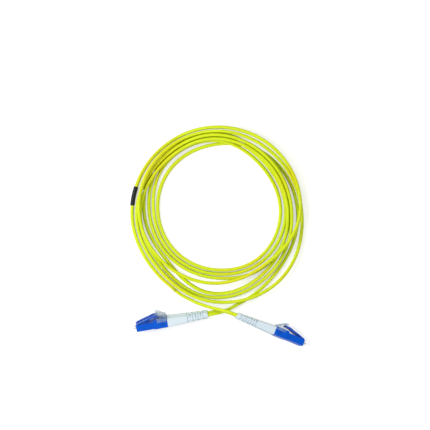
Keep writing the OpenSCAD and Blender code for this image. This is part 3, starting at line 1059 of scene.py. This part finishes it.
@dataclass
class Leg:
    """One core of the cord, from inside its boot to the end of the twin cord, in millimetres.

    Attributes:
        side: The connector that it goes into.
        bends: Points from the boot to the coil.
        radius: Radius of the core.
        diameter: The core's diameter by its kind.
        filling: Length over which it grows to the core of the twin cord.
        tuck: Share of its radius that it stays under the skin of the twin cord.
        straight: Length on which it runs on straight from the twin cord.
        inside: Length that it reaches into the twin cord.
        spacing: Distance from place to place along it.
        sides: Points in its outline.
        pitch: Distance between the two connectors of a plug.
        roots: Places in the plug's own frame, on the connector's axis, that it passes.
    """

    side: Side
    bends: Sequence[Point]
    radius: float = 0.97
    diameter: float = 2.0
    filling: float = 14.0
    tuck: float = 0.05
    straight: float = 2.0
    inside: float = 1.2
    spacing: float = 0.6
    sides: int = 28
    pitch: float = 6.25
    roots: Sequence[float] = (-6.2, -18.0, -26.7, -29.2)

    def route(self, coil: CoilCord) -> np.ndarray:
        """Lay the leg out from the boot's inside to its core of the twin cord.

        Args:
            coil: The coil that it leads to.

        Returns:
            Its points in millimetres, one in a row.
        """
        offset = self.side.value[1] * self.pitch / 2
        root = self.side.plug.place(np.array([[x, offset, 0.0] for x in self.roots]))
        start, end = coil.ends()
        if self.side.plug is Plug.A:
            tip, out = start, -coil.heading(coil.first_ring)
        else:
            tip, out = end, coil.heading(coil.last_ring)
        core = np.array([0.0, 0.0, self.side.core * (coil.twin_h / 2 - coil.core_r)])
        tips = [tip + core + reach * out for reach in (self.straight, 0.0, -self.inside)]
        return np.vstack([root, np.array(self.bends), tips])

    def build(self, paint: Paintbox, coil: CoilCord) -> tuple[bpy.types.Object, np.ndarray]:
        """Make the leg, which grows to the fullness of the twin cord's core on its last stretch.

        Its size goes up by s^2 (3 - 2s) of the difference, where s rises from 0 to 1 there.

        Args:
            paint: Where the finishes come from.
            coil: The coil that it leads to.

        Returns:
            The leg and its centre line in metres, from the coil to the boot.
        """
        path = smooth_path(self.route(coil), self.spacing)[::-1] * MM
        s = np.clip(1 - reach_along(path) / (self.filling * MM), 0, 1)
        sizes = 1 + (coil.core_r / self.radius - 1 - self.tuck) * s**2 * (3 - 2 * s)
        outline = circle(self.radius * MM, self.sides)
        leg = Strand(path, outline, sizes).build(f"cord_leg_of_{self.side.tag}")
        paint.coat(leg, Finish.JACKET)
        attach(leg, "root")
        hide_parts(f"cord_leg_{self.side.tag}")
        return leg, path


LEG_BENDS: Mapping[Side, Sequence[Point]] = {
    Side.A1: ((-2.2, 9.6, 8.5), (0.6, 10.2, 6.9), (2.8, 10.85, 5.3), (4.9, 11.6, 3.9)),
    Side.A2: ((-2.2, 10.9, 2.7), (0.6, 11.2, 2), (2.8, 11.4, 1.45), (4.9, 11.8, 1.1)),
    Side.B1: (
        (4.6, 11.3, 16.1), (1.2, 12.1, 15.2), (-1.9, 12.8, 13.7), (-5.5, 13.6, 11.5),
        (-9.4, 14.6, 9.1), (-15.8, 16.9, 6), (-21.4, 19.6, 4),
    ),
    Side.B2: (
        (3.4, 10.9, 10.4), (0.6, 11.6, 9.9), (-2.2, 12.4, 8.8), (-5.5, 13.4, 7.1),
        (-9.4, 14.6, 5.3), (-15.8, 16.9, 2.9), (-21.4, 19.6, 1.5),
    ),
}


# ---- the plugs


@dataclass
class DuplexPlug:
    """A duplex plug: two connectors side by side in a clip with one trigger.

    Attributes:
        plug: Which of the two it is.
        FINISHES: The finish of each kind of piece.
    """

    plug: Plug
    FINISHES: ClassVar[Mapping[str, Finish]] = {
        "housing": Finish.BLUE,
        "latch": Finish.LATCH_BLUE,
        "rear_body": Finish.REAR,
        "ferrule": Finish.CERAMIC,
        "ferrule_hub": Finish.PLATED,
        "spring": Finish.SPRING,
        "crimp_ring": Finish.CRIMPED,
        "boot": Finish.WHITE,
        "buffer_fiber": Finish.BUFFER,
        "clip": Finish.CLEAR,
        "trigger": Finish.SMOKY,
    }

    def dress(self, paint: Paintbox, nodes: Mapping[str, bpy.types.Object]) -> int:
        """Give each solid of this plug its finish.

        Args:
            paint: Where the finishes come from.
            nodes: The carried-over solids by name.

        Returns:
            The number of solids dressed.
        """
        dressed = 0
        for name, node in nodes.items():
            kind, tag = name.rsplit("_", 1)
            if tag.startswith(self.plug.name.lower()) and kind in self.FINISHES:
                paint.recoat(node, self.FINISHES[kind])
                dressed += 1
        return dressed


def shorten_springs(joints: Sequence[Mapping[str, object]], nodes: Mapping[str, bpy.types.Object]) -> int:
    """Measure each spring that a joint presses from its fixed end, work out the share of that length that
    the joint's travel leaves, and give the spring its own mesh.

    Args:
        joints: The part's joints, which name the springs that they press.
        nodes: The carried-over solids by name.

    Returns:
        The number of springs.
    """
    pressed = [(joint, held) for joint in joints for held in joint.get("deforming_nodes", [])]
    for joint, held in pressed:
        spring = nodes[held["node"]]
        points = np.array([v.co for v in spring.data.vertices], float)
        length = float(((points - held["fixed_end_m"]) @ np.array(held["axis"])).max())
        keep = 1 - max(abs(end) for end in joint["range_m"]) / length
        joint["name"]
        held["axis"]
        held["fixed_end_m"]
        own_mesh(spring)
    return len(pressed)


# ---- the studio


@dataclass(frozen=True)
class Lamp:
    """A square soft lamp that faces the coil.

    Attributes:
        name: Its name.
        at: Its place in metres.
        size: Its side in metres.
        power: Its power in watts.
    """

    name: str
    at: Point
    size: float
    power: float

    def light(self, look_at: tuple[float, float]) -> None:
        """Set the lamp up, facing a place on the floor.

        Args:
            look_at: That place in metres.
        """
        data = bpy.data.lights.new(self.name, "AREA")
        data.shape, data.size, data.energy = "SQUARE", self.size, self.power
        lamp = bpy.data.objects.new(self.name, data)
        bpy.context.collection.objects.link(lamp)
        lamp.location = self.at
        aim = Vector((*look_at, 0.0)) - Vector(self.at)
        lamp.rotation_euler = aim.to_track_quat("-Z", "Y").to_euler()


@dataclass
class Studio:
    """Pale floor, soft light and a camera that looks straight down, with sizes in metres.

    Attributes:
        look_at: Place on the floor under the camera.
        spans: Width of the floor that the camera sees.
        distance: Height of the camera.
        sensor: Width of its sensor in millimetres.
        clip: Nearest and farthest that it sees.
        floor_half: Half of the floor's side.
        floor_colour: The floor's colour.
        floor_glow: What lifts the floor to white where it is seen, and only there.
        sky_level: Strength of the light from all round.
        lamps: The lamps.
    """

    look_at: tuple[float, float] = (-2.95 * MM, 73.4 * MM)
    spans: float = 279.5 * MM
    distance: float = 2.2
    sensor: float = 36.0
    clip: tuple[float, float] = (0.01, 20.0)
    floor_half: float = 1.6
    floor_colour: Colour = (0.7, 0.7, 0.7)
    floor_glow: float = 0.54
    sky_level: float = 0.5
    lamps: Sequence[Lamp] = (
        Lamp("key_lamp", (-0.3, 0.12, 0.5), 0.3, 2.1),
        Lamp("fill_lamp", (0.1, -0.3, 0.8), 0.6, 1.0),
    )

    def floor(self) -> None:
        """A pale floor under the part that keeps its shadow and looks white."""
        h, (x, y) = self.floor_half, self.look_at
        corners = [(x - h, y - h, 0), (x + h, y - h, 0), (x + h, y + h, 0), (x - h, y + h, 0)]
        mesh = bpy.data.meshes.new("studio_floor")
        mesh.from_pydata(corners, [], [(0, 1, 2, 3)])
        floor = bpy.data.objects.new("studio_floor", mesh)
        bpy.context.collection.objects.link(floor)
        pale = bpy.data.materials.new("studio_floor_pale")
        graph = Graph(pale)
        matt = graph.node("ShaderNodeBsdfDiffuse", {}, {"Color": (*self.floor_colour, 1.0)})
        glow = graph.node("ShaderNodeEmission", {}, {"Strength": graph.seen_rays() * self.floor_glow})
        both = graph.node("ShaderNodeAddShader", {}, {0: matt.outputs[0], 1: glow.outputs[0]})
        graph.node("ShaderNodeOutputMaterial", {}, {"Surface": both.outputs[0]})
        mesh.materials.append(pale)

    def sky(self) -> None:
        """Even soft light from all round, with a white background."""
        world = bpy.data.worlds.new("studio_world")
        bpy.context.scene.world = world
        graph = Graph(world)
        strength = self.sky_level + (1.0 - self.sky_level) * graph.seen_rays()
        white = (1.0, 1.0, 1.0, 1.0)
        back = graph.node("ShaderNodeBackground", {}, {"Color": white, "Strength": strength})
        graph.node("ShaderNodeOutputWorld", {}, {"Surface": back.outputs[0]})

    def camera(self) -> None:
        """A camera straight above that takes in its span of the floor."""
        data = bpy.data.cameras.new("camera")
        data.sensor_fit = "HORIZONTAL"
        data.sensor_width = self.sensor
        data.lens = self.sensor * self.distance / self.spans
        data.clip_start, data.clip_end = self.clip
        camera = bpy.data.objects.new("camera", data)
        bpy.context.collection.objects.link(camera)
        camera.location = (*self.look_at, self.distance)
        bpy.context.scene.camera = camera

    def build(self) -> None:
        """Set the floor, the lights and the camera."""
        self.floor()
        self.sky()
        for lamp in self.lamps:
            lamp.light(self.look_at)
        self.camera()
        bpy.context.scene.view_settings.view_transform = "Standard"


def main() -> None:
    """Build every piece in order and report it."""
    logging.basicConfig(level=logging.INFO, format="%(name)s %(message)s")
    paint = Paintbox()
    Studio().build()
    coil = CoilCord()
    twin, sleeve, line = coil.build(paint)
    long = float(reach_along(line)[-1])
    LOG.info("coil: %d faces, %.3f m", len(twin.data.polygons), long)
    tuple(line[0])
    for side, bends in LEG_BENDS.items():
        leg = Leg(side, bends)
        piece, path = leg.build(paint, coil)
        long = float(reach_along(path)[-1])
        LOG.info("leg %s: %d faces, %.4f m", side.tag, len(piece.data.polygons), long)
        tuple(path[0])
        leg.diameter * MM
    for plug in Plug:
        dressed = DuplexPlug(plug).dress(paint, frame["nodes"])
        LOG.info("plug %s: %d solids dressed", plug.name, dressed)
    springs = shorten_springs(frame["joints"], frame["nodes"])
    LOG.info("%d springs shorten with their ferrules", springs)


if __name__ == "__main__":
    main()
